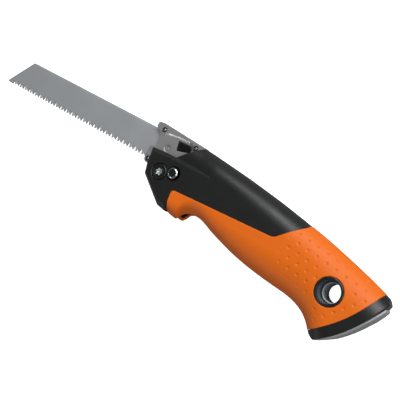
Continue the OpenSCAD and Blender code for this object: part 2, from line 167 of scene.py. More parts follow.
def rounded(corners, steps=6, closed=True):
    """Points along a line whose corners (x, y, radius) are rounded."""
    out, n = [], len(corners)
    for i, (x, y, r) in enumerate(corners):
        b = np.array((x, y), float)
        if r <= 0 or (not closed and i in (0, n - 1)):
            out.append(b)
            continue
        a, c = (np.array(corners[(i + d) % n][:2], float) - b for d in (-1, 1))
        a, c = a / np.linalg.norm(a), c / np.linalg.norm(c)
        half = math.acos(np.clip(a @ c, -1, 1)) / 2
        middle = b + (a + c) / np.linalg.norm(a + c) * r / math.sin(half)
        p, q = (b + v * r / math.tan(half) - middle for v in (a, c))
        start, turn = math.atan2(p[1], p[0]), math.atan2(q[1], q[0]) - math.atan2(p[1], p[0])
        turn = (turn + math.pi) % (2 * math.pi) - math.pi
        out += [middle + r * np.array((math.cos(start + turn * k / steps),
                                       math.sin(start + turn * k / steps)))
                for k in range(steps + 1)]
    return np.array(out)


def fine(line, step, closed=True):
    """The same line with points no further apart than step."""
    line = np.asarray(line, float)
    ends = np.roll(line, -1, axis=0) if closed else line[1:]
    out = []
    for a, b in zip(line, ends):
        n = max(1, math.ceil(np.linalg.norm(b - a) / step))
        out += [a + (b - a) * k / n for k in range(n)]
    if not closed:
        out.append(line[-1])
    return np.array(out)


def circle(middle, r, n=48, start=0.0):
    a = start + np.arange(n) * 2 * math.pi / n
    return np.column_stack((middle[0] + r * np.cos(a), middle[1] + r * np.sin(a)))


print("corner of radius 1 has", len(rounded([(0, 0, 1), (4, 0, 0), (4, 4, 0)])) - 2, "points")

# %% Inside, distance and spacing
def inside(p, loops):
    odd = np.zeros(len(p), bool)
    for loop in loops:
        for (x0, y0), (x1, y1) in zip(loop, np.roll(loop, -1, axis=0)):
            if y0 != y1:
                crosses = (y0 > p[:, 1]) != (y1 > p[:, 1])
                odd ^= crosses & (p[:, 0] < (x1 - x0) * (p[:, 1] - y0) / (y1 - y0) + x0)
    return odd


def distance(p, line, closed=True):
    p, line = np.asarray(p, float), np.asarray(line, float)
    best = np.full(len(p), np.inf)
    ends = np.roll(line, -1, axis=0) if closed else line[1:]
    for a, b in zip(line, ends):
        d = b - a
        size = d @ d
        if size > 0:
            t = np.clip((p - a) @ d / size, 0, 1)
            best = np.minimum(best, np.linalg.norm(p - a - t[:, None] * d, axis=1))
    return best


def beside(line, d, closed=True):
    """The line moved d to its left."""
    line = np.asarray(line, float)
    if closed:
        t = np.roll(line, -1, axis=0) - np.roll(line, 1, axis=0)
    else:
        t = np.gradient(line, axis=0)
    t /= np.linalg.norm(t, axis=1)[:, None]
    return line + d * np.column_stack((-t[:, 1], t[:, 0]))


def scatter(loops, step, clear, lines=()):
    """A triangular grid of points inside the loops, clear of them and of the lines."""
    every = np.vstack(loops)
    (x0, y0), (x1, y1) = every.min(axis=0), every.max(axis=0)
    rows = np.arange(y0, y1, step * 0.87)
    grid = np.vstack([np.column_stack((np.arange(x0 + (i % 2) * step / 2, x1, step),
                                       np.full(len(np.arange(x0 + (i % 2) * step / 2, x1, step)), y)))
                      for i, y in enumerate(rows)])
    keep = inside(grid, loops)
    grid = grid[keep]
    for line in list(loops):
        grid = grid[distance(grid, line) > clear]
    for line in lines:
        grid = grid[distance(grid, line, closed=False) > clear]
    return grid


print("distance test", distance([(0, 1)], [(0, 0), (1, 0)], closed=False))

# %% Solids from outlines
def new_piece(name, verts, faces):
    mesh = bpy.data.meshes.new(name)
    mesh.from_pydata([tuple(v) for v in verts], [], [tuple(map(int, f)) for f in faces])
    mesh.update()
    piece = bpy.data.objects.new(name, mesh)
    bpy.context.scene.collection.objects.link(piece)
    return piece


def fill(loops, points=(), lines=()):
    """Triangles inside the loops, with an edge along every line and a corner at every point."""
    verts, edges = [], []
    for line, closed in [(l, True) for l in loops] + [(l, False) for l in lines]:
        n, m = len(verts), len(line)
        verts += [Vector(v) for v in line]
        edges += [(n + i, n + (i + 1) % m) for i in range(m if closed else m - 1)]
    verts += [Vector(v) for v in points]
    corners, _, faces, *_ = delaunay_2d_cdt(verts, edges, [], 0, 1e-5)
    corners = np.array([tuple(v) for v in corners])
    faces = np.array([list(f) for f in faces])
    return corners, faces[inside(corners[faces].mean(axis=1), loops)]


def lifted(name, loops, top, base, points=(), lines=()):
    """A closed solid between two surfaces over the same outline."""
    flat, faces = fill(loops, points, lines)
    used = np.unique(faces)
    order = np.full(len(flat), -1)
    order[used] = np.arange(len(used))
    flat, faces = flat[used], order[faces]
    n = len(flat)
    arrows = {(a, b) for f in faces for a, b in zip(f, np.roll(f, -1))}
    rim = [(a, b) for a, b in arrows if (b, a) not in arrows]
    rim.sort()
    sides = [(b, a, a + n, b + n) for a, b in rim]
    verts = np.vstack((top(flat), base(flat)))
    every = [tuple(f) for f in faces] + [tuple(f[::-1] + n) for f in faces] + sides
    return new_piece(name, to_frame(verts), every)


def prism(name, outline, z0, z1):
    """A straight-sided solid for cutting."""
    def level(z):
        return lambda p: np.column_stack((p, np.full(len(p), z)))
    area = np.asarray(outline, float)
    return lifted(name, [area], level(z1), level(z0))


def turned(name, profile, middle=(0, 0), steps=72, closed=True):
    """A solid turned round Z through middle from a profile of (radius, z)."""
    angles = np.arange(steps) * 2 * math.pi / steps
    verts, rings = [], []
    for r, z in profile:
        if r < 1e-6:
            rings.append([len(verts)])
            verts.append((middle[0], middle[1], z))
        else:
            rings.append(list(range(len(verts), len(verts) + steps)))
            verts += [(middle[0] + r * math.cos(a), middle[1] + r * math.sin(a), z) for a in angles]
    faces = []
    pairs = list(zip(rings, rings[1:] + rings[:1])) if closed else list(zip(rings, rings[1:]))
    for a, b in pairs:
        for i in range(steps):
            j = (i + 1) % steps
            quad = [a[i % len(a)], a[j % len(a)], b[j % len(b)], b[i % len(b)]]
            quad = list(dict.fromkeys(quad))
            if len(quad) > 2:
                faces.append(quad)
    piece = new_piece(name, to_frame(verts), faces)
    mesh = bmesh.new()
    mesh.from_mesh(piece.data)
    bmesh.ops.recalc_face_normals(mesh, faces=mesh.faces)
    mesh.to_mesh(piece.data)
    mesh.free()
    return piece


print("a prism has", len(prism("trial", circle((0, 0), 1, 12), 0, 1).data.polygons), "faces")
bpy.data.objects.remove(bpy.data.objects["trial"])

# %% Cutting, joining and mirroring
def carve(piece, cutters, operation="DIFFERENCE", keep=False):
    """Cuts the cutters from the piece, or joins them to it."""
    for tool in cutters:
        step = piece.modifiers.new("carve", "BOOLEAN")
        step.operation = operation
        step.solver = "MANIFOLD"
        step.object = tool
    graph = bpy.context.evaluated_depsgraph_get()
    made = bpy.data.meshes.new_from_object(piece.evaluated_get(graph))
    piece.modifiers.clear()
    piece.data = made
    if not keep:
        for tool in cutters:
            bpy.data.objects.remove(tool)
    return piece


def mirrored(piece, name):
    """The same piece on the far side of the parting plane."""
    other = piece.copy()
    other.data = piece.data.copy()
    other.name = name
    other.data.transform(Matrix.Diagonal((1, 1, -1, 1)))
    other.data.flip_normals()
    bpy.context.scene.collection.objects.link(other)
    return other


def finish_mesh(piece, angle=32):
    piece.data.shade_smooth()
    piece.data.set_sharp_from_angle(angle=math.radians(angle))
    return piece


print("tools ready")

# %% [markdown]
# ## Finishes
# Real surfaces differ from plain paint in small ways that repeat from one material to the next:
# edges that hands polish, the fine texture that a spark-eroded mould leaves, and the streaks of
# a grinding belt. Each of those is a node group here, made once. A material places the group
# and gives it its own values. Picture textures would need unwrapping; these need only position.

# %% Node helpers
def tone(code):
    """A colour written as on a paint card, in linear light."""
    parts = [int(code[i:i + 2], 16) / 255 for i in (1, 3, 5)]
    return (*[p / 12.92 if p <= 0.04045 else ((p + 0.055) / 1.055) ** 2.4 for p in parts], 1)


def add(tree, kind, sockets=None, **settings):
    made = tree.nodes.new("ShaderNode" + kind)
    for key, value in settings.items():
        setattr(made, key, value)
    for key, value in (sockets or {}).items():
        if isinstance(value, bpy.types.NodeSocket):
            tree.links.new(value, made.inputs[key])
        else:
            made.inputs[key].default_value = value
    return made


def maths(tree, operation, a, b=0.0, clamp=False):
    return add(tree, "Math", {0: a, 1: b}, operation=operation, use_clamp=clamp).outputs[0]


def new_group(name, inputs, outputs):
    tree = bpy.data.node_groups.new(name, "ShaderNodeTree")
    for label, value in inputs.items():
        kind = "NodeSocketVector" if isinstance(value, tuple) else "NodeSocketFloat"
        tree.interface.new_socket(name=label, in_out="INPUT", socket_type=kind).default_value = value
    for label in outputs:
        tree.interface.new_socket(name=label, in_out="OUTPUT", socket_type="NodeSocketFloat")
    return tree, tree.nodes.new("NodeGroupInput").outputs, tree.nodes.new("NodeGroupOutput").inputs


print("card colour", [round(v, 3) for v in tone("#ee6c17")])

# %% [markdown]
# Edge wear compares the surface's direction with the direction it would have if its edges were
# rounded. They differ only close to an edge. Noise breaks the band up, since wear is patchy.

# %% Edge wear
edge_wear, given, out = new_group("edge_wear", {"Width": 0.0004, "Amount": 0.5, "Patch Scale": 400.0},
                                  ["Mask"])
soft = add(edge_wear, "Bevel", {"Radius": given["Width"]}, samples=4)
true = add(edge_wear, "NewGeometry")
match = add(edge_wear, "VectorMath", {0: soft.outputs["Normal"], 1: true.outputs["Normal"]},
            operation="DOT_PRODUCT")
turned_away = maths(edge_wear, "SUBTRACT", 1.0, match.outputs["Value"])
band = maths(edge_wear, "MULTIPLY", turned_away, 9.0, clamp=True)
place = add(edge_wear, "TexCoord")
patch = add(edge_wear, "TexNoise", {"Vector": place.outputs["Object"], "Scale": given["Patch Scale"],
                                    "Detail": 3.0})
uneven = add(edge_wear, "MapRange", {"Value": patch.outputs["Fac"], "From Min": 0.35, "From Max": 0.65})
edge_wear.links.new(maths(edge_wear, "MULTIPLY", maths(edge_wear, "MULTIPLY", band,
                                                       uneven.outputs["Result"]),
                          given["Amount"]), out["Mask"])
print("group", edge_wear.name, [s.name for s in edge_wear.interface.items_tree])

# %% [markdown]
# Moulded grain is the fine leather-like texture of tool handles. Two sizes of cell give height,
# and their mix also shifts the gloss a little, as a satin moulding does.

# %% Moulded grain
moulded_grain, given, out = new_group("moulded_grain", {"Scale": 1800.0, "Coarse Share": 0.3},
                                      ["Height", "Gloss Shift"])
place = add(moulded_grain, "TexCoord")
cells = add(moulded_grain, "TexVoronoi", {"Vector": place.outputs["Object"], "Scale": given["Scale"]})
slow = add(moulded_grain, "TexNoise", {"Vector": place.outputs["Object"], "Detail": 4.0,
                                       "Scale": maths(moulded_grain, "MULTIPLY", given["Scale"], 0.35)})
rough_part = maths(moulded_grain, "MULTIPLY", slow.outputs["Fac"], given["Coarse Share"])
moulded_grain.links.new(maths(moulded_grain, "ADD", cells.outputs["Distance"], rough_part), out["Height"])
moulded_grain.links.new(maths(moulded_grain, "SUBTRACT", slow.outputs["Fac"], 0.5), out["Gloss Shift"])
print("group", moulded_grain.name)

# %% [markdown]
# Handling leaves faint, slow changes: skin oil in some places, dust in others. Two noises of
# hand size and finger size give one mask for gloss and one for dust.

# %% Handling marks
handling, given, out = new_group("handling_marks", {"Scale": 45.0, "Dust": 0.2}, ["Smudge", "Dust Mask"])
place = add(handling, "TexCoord")
broad = add(handling, "TexNoise", {"Vector": place.outputs["Object"], "Scale": given["Scale"],
                                   "Detail": 5.0})
small = add(handling, "TexNoise", {"Vector": place.outputs["Object"], "Detail": 6.0, "Roughness": 0.7,
                                   "Scale": maths(handling, "MULTIPLY", given["Scale"], 22.0)})
handling.links.new(maths(handling, "SUBTRACT", broad.outputs["Fac"], 0.5), out["Smudge"])
specks = add(handling, "MapRange", {"Value": small.outputs["Fac"], "From Min": 0.55, "From Max": 0.8})
drift = add(handling, "MapRange", {"Value": broad.outputs["Fac"], "From Min": 0.4, "From Max": 0.7})
dust = maths(handling, "MULTIPLY", specks.outputs["Result"], drift.outputs["Result"])
handling.links.new(maths(handling, "MULTIPLY", dust, given["Dust"]), out["Dust Mask"])
print("group", handling.name)

# %% [markdown]
# A grinding belt or a lathe tool leaves streaks. Noise squeezed along one direction does the
# same: the larger a number in Squeeze, the closer the streaks lie along that axis.

# %% Tool streaks
streaks, given, out = new_group("tool_streaks", {"Squeeze": (30.0, 900.0, 900.0)}, ["Streak", "Height"])
place = add(streaks, "TexCoord")
squeezed = add(streaks, "VectorMath", {0: place.outputs["Object"], 1: given["Squeeze"]},
               operation="MULTIPLY")
lines = add(streaks, "TexNoise", {"Vector": squeezed.outputs["Vector"], "Scale": 1.0, "Detail": 4.0,
                                  "Roughness": 0.65})
broad = add(streaks, "TexNoise", {"Vector": squeezed.outputs["Vector"], "Scale": 0.12, "Detail": 2.0})
both = maths(streaks, "MULTIPLY", maths(streaks, "ADD", lines.outputs["Fac"], broad.outputs["Fac"]), 0.5)
streaks.links.new(maths(streaks, "SUBTRACT", both, 0.5), out["Streak"])
streaks.links.new(lines.outputs["Fac"], out["Height"])
print("group", streaks.name)

# %% [markdown]
# Two recipes cover all the finishes. A moulding is coloured plastic or rubber with grain,
# smudges, dust and paler edges. A metal has streaks, and its edges are rubbed bright.

# %% Moulding recipe
def blend_colour(tree, mask, a, b):
    mixed = add(tree, "Mix", {"Factor": mask}, data_type="RGBA")
    for key, value in (("A", a), ("B", b)):
        socket = [s for s in mixed.inputs if s.name == key and s.type == "RGBA"][0]
        if isinstance(value, bpy.types.NodeSocket):
            tree.links.new(value, socket)
        else:
            socket.default_value = value
    return [s for s in mixed.outputs if s.type == "RGBA"][0]


def start_material(name):
    made = bpy.data.materials.new(name)
    made.use_nodes = True
    return made, made.node_tree, made.node_tree.nodes["Principled BSDF"]


def moulding(name, colour, worn, gloss, grain=1800.0, depth=0.00003, dust=0.15, wear=0.35, shine=0.35,
             vary=0.12, sheen=0.0):
    """colour and worn are card colours, gloss is the base roughness, depth the grain's height."""
    made, tree, shader = start_material(name)
    marks = add(tree, "Group", node_tree=handling)
    marks.inputs["Dust"].default_value = dust
    edges = add(tree, "Group", node_tree=edge_wear)
    edges.inputs["Amount"].default_value = wear
    texture = add(tree, "Group", node_tree=moulded_grain)
    texture.inputs["Scale"].default_value = grain
    base = blend_colour(tree, edges.outputs["Mask"], tone(colour), tone(worn))
    dusty = blend_colour(tree, marks.outputs["Dust Mask"], base, tone("#b9b2a6"))
    tree.links.new(dusty, shader.inputs["Base Color"])
    rough = maths(tree, "ADD", maths(tree, "MULTIPLY", marks.outputs["Smudge"], vary * 2), gloss)
    rough = maths(tree, "ADD", maths(tree, "MULTIPLY", texture.outputs["Gloss Shift"], vary), rough)
    rough = maths(tree, "SUBTRACT", rough, maths(tree, "MULTIPLY", edges.outputs["Mask"], 0.12), clamp=True)
    tree.links.new(rough, shader.inputs["Roughness"])
    bump = add(tree, "Bump", {"Height": texture.outputs["Height"], "Distance": depth, "Strength": 0.6})
    tree.links.new(bump.outputs["Normal"], shader.inputs["Normal"])
    shader.inputs["Specular IOR Level"].default_value = shine
    shader.inputs["Sheen Weight"].default_value = sheen
    return made


casing_black = moulding("casing_black", "#111213", "#2c2d2e", 0.42, shine=0.4, dust=0.04)
grip_orange = moulding("grip_orange", "#d46204", "#f08a35", 0.52, grain=1400.0, dust=0.03, wear=0.25,
                       shine=0.3, vary=0.1)
cap_black = moulding("cap_black", "#0e0f10", "#2a2b2c", 0.38, shine=0.4, dust=0.04)
ferrule_black = moulding("ferrule_black", "#0f1011", "#2c2d2e", 0.3, grain=2600.0, depth=0.00001,
                         shine=0.5, dust=0.04)
barrel_blue_grey = moulding("barrel_blue_grey", "#59616a", "#7d868e", 0.42, grain=2600.0, depth=0.00001)
# The hang hole's sleeve is grey plastic, but it is coloured far paler than that: painted light that makes up
# for the shade inside the hole.
sleeve_grey_painted_light = moulding("sleeve_grey_painted_light", "#c9cbcc", "#d8dadb", 0.45, grain=2200.0, depth=0.00002)
plate_grey = moulding("plate_grey", "#9b9d9e", "#bcbebf", 0.42, grain=2200.0, depth=0.00002)
pad_black = moulding("pad_black", "#0b0b0c", "#242526", 0.5, grain=2600.0, depth=0.00002, shine=0.3)
print("mouldings", [m.name for m in bpy.data.materials if m.users or m.use_nodes])


# %% Metal recipe
def metal(name, colour, bright, gloss, squeeze=(30.0, 900.0, 900.0), metallic=1.0, vary=0.25, tint=0.25,
          depth=0.000004,
          wear=0.6, spots=0.0):
    """squeeze says which way the streaks run; tint is how much they change the colour."""
    made, tree, shader = start_material(name)
    lines = add(tree, "Group", node_tree=streaks)
    lines.inputs["Squeeze"].default_value = squeeze
    marks = add(tree, "Group", node_tree=handling)
    marks.inputs["Dust"].default_value = spots
    edges = add(tree, "Group", node_tree=edge_wear)
    edges.inputs["Amount"].default_value = wear
    edges.inputs["Width"].default_value = 0.00025
    dark = tuple(c * 0.7 for c in tone(colour)[:3]) + (1,)
    mix_by = maths(tree, "ADD", maths(tree, "MULTIPLY", lines.outputs["Streak"], tint * 4), 0.3, clamp=True)
    base = blend_colour(tree, mix_by, tone(colour), dark)
    worn = blend_colour(tree, edges.outputs["Mask"], base, tone(bright))
    spotted = blend_colour(tree, marks.outputs["Dust Mask"], worn, tone("#5c544b"))
    tree.links.new(spotted, shader.inputs["Base Color"])
    rough = maths(tree, "ADD", maths(tree, "MULTIPLY", lines.outputs["Streak"], vary), gloss)
    rough = maths(tree, "ADD", maths(tree, "MULTIPLY", marks.outputs["Smudge"], 0.2), rough, clamp=True)
    tree.links.new(rough, shader.inputs["Roughness"])
    shader.inputs["Metallic"].default_value = metallic
    bump = add(tree, "Bump", {"Height": lines.outputs["Height"], "Distance": depth, "Strength": 0.5})
    tree.links.new(bump.outputs["Normal"], shader.inputs["Normal"])
    return made


blade_steel = metal("blade_steel", "#c6cbce", "#eef1f2", 0.42, (25.0, 1400.0, 1400.0), 0.75, tint=0.1,
                    spots=0.12)
cast_grey = metal("cast_grey", "#969696", "#c4c5c5", 0.5, (700.0, 700.0, 700.0), 0.55, tint=0.08, spots=0.1)
bolt_dark = metal("bolt_dark", "#2b302f", "#596261", 0.38, (900.0, 900.0, 60.0), 0.8)
# The rib wall's finish: its lower roughness is polish, its much paler colour a painted highlight for the
# wall's white gleam.
rib_polish_painted_highlight = metal("rib_polish_painted_highlight", "#d4d6d6", "#ffffff", 0.3, (700.0, 700.0, 700.0), 0.9, tint=0.05)
recess_steel = metal("recess_steel", "#d5dcd9", "#e2e6e4", 0.35, (500.0, 500.0, 500.0), 0.9)
chrome = metal("chrome", "#a5a9ab", "#e6e8e9", 0.14, (60.0, 60.0, 2400.0), 1.0, tint=0.05)
rivet_bright = metal("rivet_bright", "#e8e9ea", "#ffffff", 0.22, (900.0, 900.0, 900.0), 1.0, tint=0.05)
eyelet_dark = metal("eyelet_dark", "#26282a", "#55585a", 0.35, (900.0, 900.0, 60.0), 0.8)
spring_steel = metal("spring_steel", "#b4b7b9", "#e4e6e7", 0.28, (700.0, 700.0, 2000.0), 1.0)
bronze = metal("bearing_bronze", "#a4834e", "#d5b47c", 0.33, (900.0, 900.0, 80.0), 1.0)
screw_black = metal("screw_black", "#2c2d2f", "#707375", 0.4, (900.0, 900.0, 60.0), 0.7)
print("metals", [m.name for m in (blade_steel, cast_grey, bolt_dark, chrome, bronze)])


# %% Dressing a piece
def dress(piece, body, slot, *finishes, nodes=()):
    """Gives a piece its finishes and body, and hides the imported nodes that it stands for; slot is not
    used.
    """
    piece.data.materials.clear()
    for finish in finishes:
        piece.data.materials.append(finish)
    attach(piece, body)
    if nodes:
        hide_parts(*nodes)
    print(piece.name, len(piece.data.polygons), "faces, on", body)
    return piece


def paint_where(piece, index, rule):
    """Gives the faces whose middle meets the rule another of the piece's finishes."""
    for face in piece.data.polygons:
        x, y, z = (face.center - pivot) / MM
        if rule(x, y, z, face.normal):
            face.material_index = index

# %% [markdown]
# ## The handle's form
# A moulded handle is drawn as two side views: the belly and back lines, and how thick it is
# along each. Between them every section is a rounded bar. To wrap an outline round such a bar,
# each point has a place x along the handle and a place w across it, unrolled from the flat of
# the side. A mesh made in x and w has even triangles even where the side turns edge-on.

# %% Handle lines
belly = curve([[4, -17.4], [9, -20.9], [14.2, -22.2], [20, -23.5], [25, -24], [25.7, -23.8], [26.6, -21.4],
               [28.6, -18.6], [31.8, -16.6], [35.5, -15.4], [39.5, -15.3], [43.7, -16.1], [48.5, -17.7],
               [52.2, -19.1],
               [62.3, -22], [71.7, -24.4], [80.8, -26.2], [90, -27.6], [107, -29.3], [114, -29.7],
               [121, -30.4],
               [128, -32], [134, -34.6], [139, -38.2], [144, -43.6], [151, -52], [160, -62], [188, -90]])
back = curve([[4, 30.1], [18, 29.5], [33, 28.1], [48, 26.5], [60, 25.1], [74, 23.2], [87, 21.3], [100, 19.1],
              [114, 16.5], [128, 13.7], [144.5, 9.8], [161, 5.5], [175, 1.3], [188, -3.2]])
belly_z = curve([[4, 13.2], [45, 13.3], [80, 13.7], [188, 13.7]])
back_z = curve([[4, 9.8], [22, 10.4], [31, 12], [39, 13.2], [64, 13.6], [80, 13.7], [188, 13.7]])
belly_round = curve([[4, 8], [45, 11], [80, 17], [110, 21], [140, 23], [188, 26]])
back_round = curve([[4, 12], [60, 13], [100, 16], [140, 20], [188, 24]])
EDGE_ON = math.radians(88)          # the halves stop just short of the parting plane


def turns(x, w):
    """How far the side has turned towards the belly and the back, and where each turn starts."""
    low, high = belly(x) + belly_round(x), back(x) - back_round(x)
    return (np.clip((low - w) / belly_round(x), 0, math.pi / 2),
            np.clip((w - high) / back_round(x), 0, math.pi / 2), low, high)


def wrap(p, grow=0.0):
    """Points of the handle's side for places (x, w), grown outward."""
    x, w = p[:, 0], p[:, 1]
    down, up, low, high = turns(x, w)
    z_low, z_high = belly_z(x) + grow, back_z(x) + grow
    z = z_low + (z_high - z_low) * ease((w - low) / (high - low))
    y = np.where(w < low, low - (belly_round(x) + grow) * np.sin(down),
                 np.where(w > high, high + (back_round(x) + grow) * np.sin(up), w))
    return np.column_stack((x, y, np.where(w < low, z_low * np.cos(down), np.where(w > high,
                                                                                   z_high * np.cos(up), z))))


def unwrap(p):
    """Places (x, w) for points (x, y) seen from the side."""
    p = np.asarray(p, float)
    x, y = p[:, 0], p[:, 1]
    low, high = belly(x) + belly_round(x), back(x) - back_round(x)
    down = np.arcsin(np.clip((low - y) / belly_round(x), -1, 1))
    up = np.arcsin(np.clip((y - high) / back_round(x), -1, 1))
    return np.column_stack((x, np.where(y < low, low - belly_round(x) * down,
                                        np.where(y > high, high + back_round(x) * up, y))))


def belly_rim(x, angle=EDGE_ON):
    return np.column_stack((x, belly(x) + belly_round(x) * (1 - angle)))


def back_rim(x, angle=EDGE_ON):
    return np.column_stack((x, back(x) - back_round(x) * (1 - angle)))


print("widest section", round(float(back(20.0) - belly(20.0)), 1), "mm")

# %% Lines on the side
butt_middle, butt_radius = np.array((93.4, 27.8)), 86.0


def butt_arc(radius, step=0.8, angle=EDGE_ON):
    """The curved butt in x and w, from the belly's rim to the back's."""
    a = np.radians(np.arange(-75, 5, 0.2))
    p = np.column_stack((butt_middle[0] + radius * np.cos(a), butt_middle[1] + radius * np.sin(a)))
    p = p[(p[:, 1] > belly(p[:, 0]) + 0.02) & (p[:, 1] < back(p[:, 0]) - 0.02)]
    flat = unwrap(p)
    above = flat[:, 1] > belly_rim(flat[:, 0], angle)[:, 1] + 0.3
    keep = above & (flat[:, 1] < back_rim(flat[:, 0])[:, 1] - 0.3)
    flat = flat[keep]
    first, last = flat[0], flat[-1]
    ends = [belly_rim(first[:1] - 0.05, angle)[0], back_rim(last[:1] + 0.05)[0]]
    return fine(np.vstack((ends[0], flat[::3], last, ends[1])), step, closed=False)


colour_line = rounded([[18.3, -30, 0], [15.6, -6.6, 2.2], [97.5, -1.4, 7], [122, 24, 0]], closed=False)
seen = colour_line[(colour_line[:, 1] > -22.2) & (colour_line[:, 1] < 15)]
seen = fine(np.vstack(([[17.55, -22.4]], seen, [[112.6, 14.25]])), 0.9, closed=False)
colour_line = np.vstack((belly_rim(np.array([17.6]), 1.45), unwrap(seen), back_rim(np.array([113.6]))))
colour_line = fine(colour_line, 0.9, closed=False)
print("colour line", len(colour_line), "points from", colour_line[0].round(1), "to",
      colour_line[-1].round(1))

# %% [markdown]
# ## The casing
# Each casing half is one moulding: the handle's form, and in front of it a flat cheek with
# bevelled edges that holds the pivot. They are made as two solids and joined. The form is sunk
# where the soft grip covers it. Then the same cuts are made that the mould's cores would leave:
# the gap for the holder, the slot for the folded blade, and the bores.

# %% Form of one half
arc = butt_arc(butt_radius)
long_side = np.arange(4.5, arc[0][0] - 0.4, 1.0)
short_side = np.arange(arc[-1][0] - 0.5, 4.5, -1.0)
front_edge = fine([back_rim(np.array([4.5]))[0], belly_rim(np.array([4.5]))[0]], 2, closed=False)[1:-1]
form_loop = np.vstack((belly_rim(long_side), arc, back_rim(short_side), back_rim(np.array([4.5])),
                       front_edge))
grip_patch = np.vstack((colour_line, [[230, colour_line[-1][1]], [230, -90], [colour_line[0][0], -90]]))
GRIP_DEPTH, SEAM = 1.75, 0.08


def sunk(p):
    return np.where(inside(p, [grip_patch]) & (distance(p, colour_line, closed=False) > 0.05), -GRIP_DEPTH,
                    0.0)


def form_top(p):
    return wrap(p, sunk(p))


def form_base(p):
    low = form_top(p)
    low[:, 2] = SEAM
    return low


step_line = beside(colour_line, -0.1, closed=False)[1:-1]
inner_line = colour_line[1:-1]
form_points = scatter([form_loop], 1.7, 0.7, lines=[colour_line])
half_form = lifted("half_form", [form_loop], form_top, form_base, form_points, [inner_line, step_line])
print("form", len(half_form.data.polygons), "faces")

# %% Bevelled cheek
FOOT = [[-15.4, 13.2, 1], [-13.9, 2, 3], [-11.5, -6.1, 2.4], [-2.1, -12.9, 3], [9.4, -21.2, 1.2],
        [17.5, -22.5, 0.4],
        [15.75, -7.9, 1], [16.9, -6.45, 1], [50, -4.35, 0], [52, 8, 0], [44, 13.4, 2], [36, 15.2, 1.5],
        [18, 15, 4],
        [0, 14.4, 0]]
CROWN = [[-11.8, 10.7, 0.6], [-11.2, 1.5, 3], [-9.4, -4.8, 1.6], [-0.4, -10.8, 3], [10.6, -18, 1.5],
         [17.05, -19.3, 0.4],
         [15.75, -7.9, 1], [16.9, -6.45, 1], [50, -4.35, 0], [51, 7, 0], [43.5, 12, 2], [35, 13, 1.5],
         [18, 12.6, 4],
         [1.5, 11.9, 0]]
foot, crown = fine(rounded(FOOT), 0.9), fine(rounded(CROWN), 0.9)
CHEEK_Z, WALL_Z = 13.2, 10.6


def cheek_top(p):
    outer, inner = distance(p, foot), distance(p, crown)
    within = inside(p, [crown])
    fall = np.where(within, -inner * 0.8, (CHEEK_Z - WALL_Z) * inner / (inner + outer + 1e-9))
    fall = np.where(within & (outer < 0.6), 0, (fall + np.sqrt(fall**2 + 0.05)) / 2)
    rim = np.where(outer < 0.45, 0.35 * (1 - outer / 0.45) ** 2, 0)
    return np.column_stack((p, CHEEK_Z - fall - rim))


def at_height(z):
    return lambda p: np.column_stack((p[:, :2], np.full(len(p), float(z))))


ring_points = np.vstack([beside(foot, d) for d in (-0.15, -0.4)] + [beside(crown, d) for d in (-0.4, -0.2,
                                                                                               0.2, 0.45)])
ring_points = ring_points[inside(ring_points, [foot]) & (distance(ring_points, foot) > 0.08)]
cheek_points = scatter([foot], 1.6, 0.9, lines=[np.vstack((crown, crown[:1]))])
half_cheek = lifted("half_cheek", [foot], cheek_top, at_height(SEAM), np.vstack((ring_points, crown,
                                                                                 cheek_points)))
print("cheek", len(half_cheek.data.polygons), "faces")

# %% Cuts that both halves share
lean = math.radians(180 - fold["range_deg"][1])
CHEEK_IN, SLOT_HALF, SWEEP = 4.65, 2.42, 38.0


def leaned(points):
    c, s = math.cos(-lean), math.sin(-lean)
    return np.asarray(points, float) @ np.array(((c, s), (-s, c)))


def sweep_area():
    a = np.radians(np.arange(-180, 1, 3))
    return leaned(np.column_stack((SWEEP * np.cos(a), np.minimum(SWEEP * np.sin(a), -0.3))))


slot_area = leaned([[10, -60], [200, -60], [200, -2.2], [10, -2.2]])
common = [
    prism("holder_room", [[-45, 13], [0, 14.2], [5.3, 14.2], [20.35, 30.1], [20.35, 45], [-45, 45]], -2, 20),
    prism("holder_sweep", sweep_area(), -2, CHEEK_IN),
    prism("hub_room", circle((0, 0), 7.5, 64), -2, CHEEK_IN),
    prism("open_place", [[-45, -5], [0, -5], [7.3, -1], [6.7, 4], [6.2, 13.2], [5.3, 14.2], [20.35, 30.1],
                         [-45, 45]],
          -2, CHEEK_IN),
    prism("blade_slot", slot_area, -2, SLOT_HALF),
    turned("shank_bore", [(0, -2), (3.05, -2), (3.05, 20), (0, 20)]),
    turned("sleeve_bore", [(0, -2), (7.03, -2), (7.03, 20), (0, 20)], hang_at)]
half = carve(half_form, [half_cheek], "UNION")
half = carve(half, common)
print("casing half", len(half.data.polygons), "faces")

# %% Near and far halves
lock_at = (11, 3.5)
casing_far = mirrored(half, "casing_far")
casing_near = half
casing_near.name = "casing_near"
carve(casing_near, [
    turned("head_seat", [(0, 9.6), (6.1, 9.6), (6.1, 12.8), (6.6, 13.3), (6.6, 20), (0, 20)]),
    turned("lock_seat", [(0, -2), (5.6, -2), (5.6, 8.6), (3.95, 8.6), (3.95, 10.8), (5.1, 10.8),
                         (5.2, 12.8), (5.6, 13.3), (5.6, 20), (0, 20)], lock_at),
    turned("ferrule_seat", [(0, 3), (8.63, 3), (8.63, 12.25), (9.56, 12.25), (9.56, 20), (0, 20)], hang_at)])
nut_seat = prism("nut_seat", circle((0, 0), 5.95, 6), -20, -8.95)
far_cuts = [
    nut_seat,
    turned("plug_seat", [(0, -20), (4.93, -20), (4.93, -11), (2.95, -11), (2.95, 2), (0, 2)], lock_at),
    turned("flange_seat", [(0, -20), (9.56, -20), (9.56, -12.25), (0, -12.25)], hang_at)]
